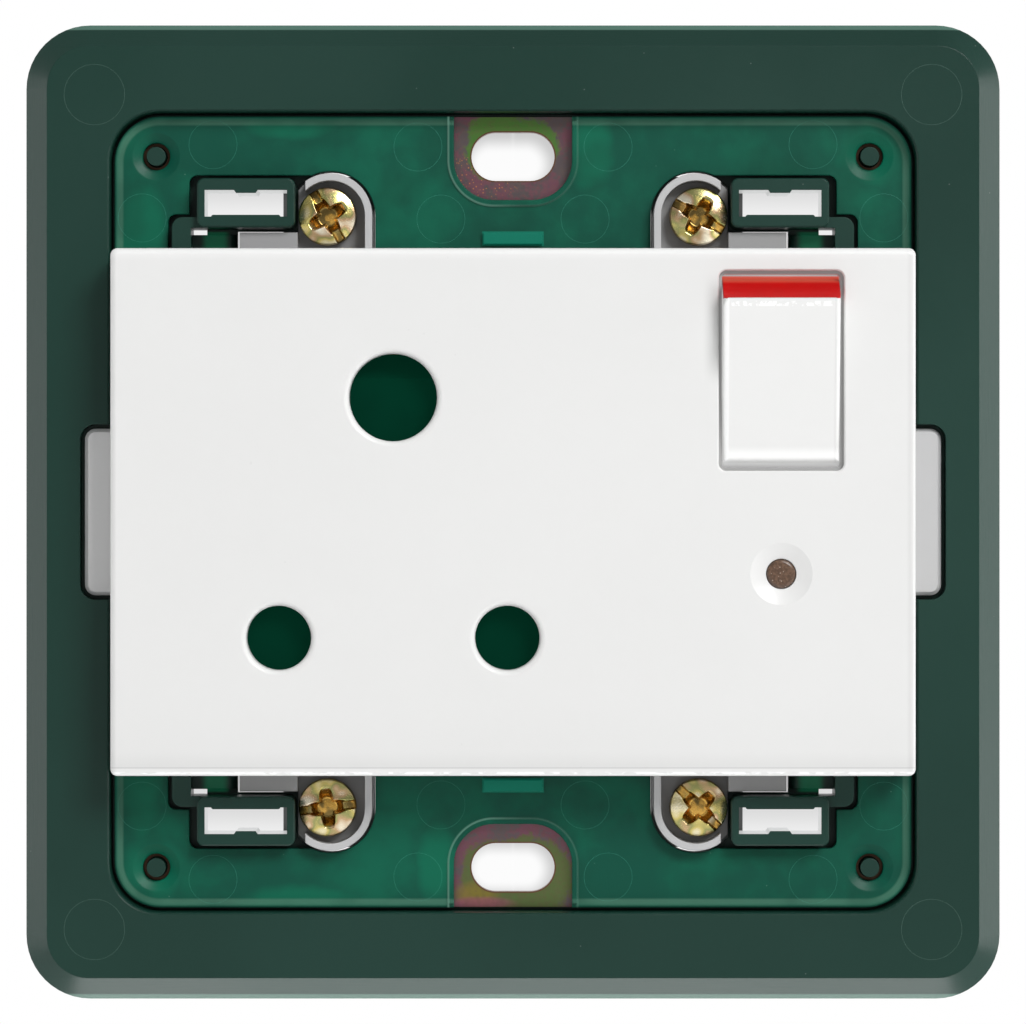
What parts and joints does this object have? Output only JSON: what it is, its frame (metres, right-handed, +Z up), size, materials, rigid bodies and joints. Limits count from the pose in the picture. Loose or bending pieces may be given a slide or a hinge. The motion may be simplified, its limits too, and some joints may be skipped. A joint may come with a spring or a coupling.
{
  "type": "switched socket",
  "caption": "Switched round-pin wall socket module with shutter and rocker, clipped in a square mounting frame with steel stiffener.",
  "frame": {"origin": "centre of the mounting frame on the plane of the wall, halfway between the two fixing slots", "axes": "-Y out of the wall towards the user, +X right and +Z up as seen by the user"},
  "size_m": [0.0824, 0.0282, 0.0824],
  "materials": {
    "brass": "drawn",
    "frame_green": "fine satin moulding",
    "grey_plastic": "satin",
    "lamp_glass": "clear",
    "red_plastic": "polished",
    "resistor_coat": "lacquer",
    "screw_zinc": "yellow passivated zinc",
    "sheet_green": "satin",
    "shutter_green": "satin",
    "smoked_lens": "polished",
    "spring_steel": "drawn wire",
    "white_plastic": "polished",
    "zinc_steel": "yellow passivated zinc"
  },
  "bodies": {
    "socket": {"earth_clamp": "brass", "earth_contact": "brass", "earth_screw": "screw_zinc", "front_cover": "white_plastic", "indicator_lamp": "lamp_glass", "indicator_lens": "smoked_lens", "insulating_sheet": "sheet_green", "lamp_resistor": "resistor_coat", "line_bracket": "brass", "line_clamp": "brass", "line_contact": "brass", "line_screw": "screw_zinc", "main_housing": "grey_plastic", "mounting_frame": "frame_green", "neutral_bracket": "brass", "neutral_clamp": "brass", "neutral_contact": "brass", "neutral_screw": "screw_zinc", "rear_cover": "grey_plastic", "rear_screw_left": "screw_zinc", "rear_screw_right": "screw_zinc", "shutter_spring": "spring_steel", "spare_earth_clamp": "brass", "spare_earth_screw": "screw_zinc", "steel_plate": "zinc_steel"},
    "rocker_body": {"rocker": "white_plastic", "rocker_marker": "red_plastic", "line_plunger": "white_plastic", "neutral_plunger": "white_plastic", "line_plunger_spring": "spring_steel", "neutral_plunger_spring": "spring_steel"},
    "line_blade_body": {"line_blade": "brass"},
    "neutral_blade_body": {"neutral_blade": "brass"},
    "shutter_body": {"shutter": "shutter_green"}
  },
  "joints": [
    {"name": "rocker_tilt", "type": "hinge", "parent": "socket", "child": "rocker_body", "pos_m": [0.02235, -0.0074, 0.01177], "axis": [1, 0, 0], "range_deg": [-16, 0]},
    {"name": "line_blade_tilt", "type": "hinge", "parent": "socket", "child": "line_blade_body", "pos_m": [0.0199, 0.0005, 0.01177], "axis": [1, 0, 0], "range_deg": [0, 10]},
    {"name": "neutral_blade_tilt", "type": "hinge", "parent": "socket", "child": "neutral_blade_body", "pos_m": [0.0248, 0.0005, 0.01177], "axis": [1, 0, 0], "range_deg": [0, 10]},
    {"name": "shutter_slide", "type": "slide", "parent": "socket", "child": "shutter_body", "axis": [0, 0, -1], "range_m": [0, 0.0073], "stiffness_N_per_m": 60, "springref_m": -0.01, "deforming": ["shutter_spring"]}
  ],
  "couplings": [
    {"joint": "line_blade_tilt", "follows": "rocker_tilt", "ratio": -0.625},
    {"joint": "neutral_blade_tilt", "follows": "rocker_tilt", "ratio": -0.625}
  ]
}
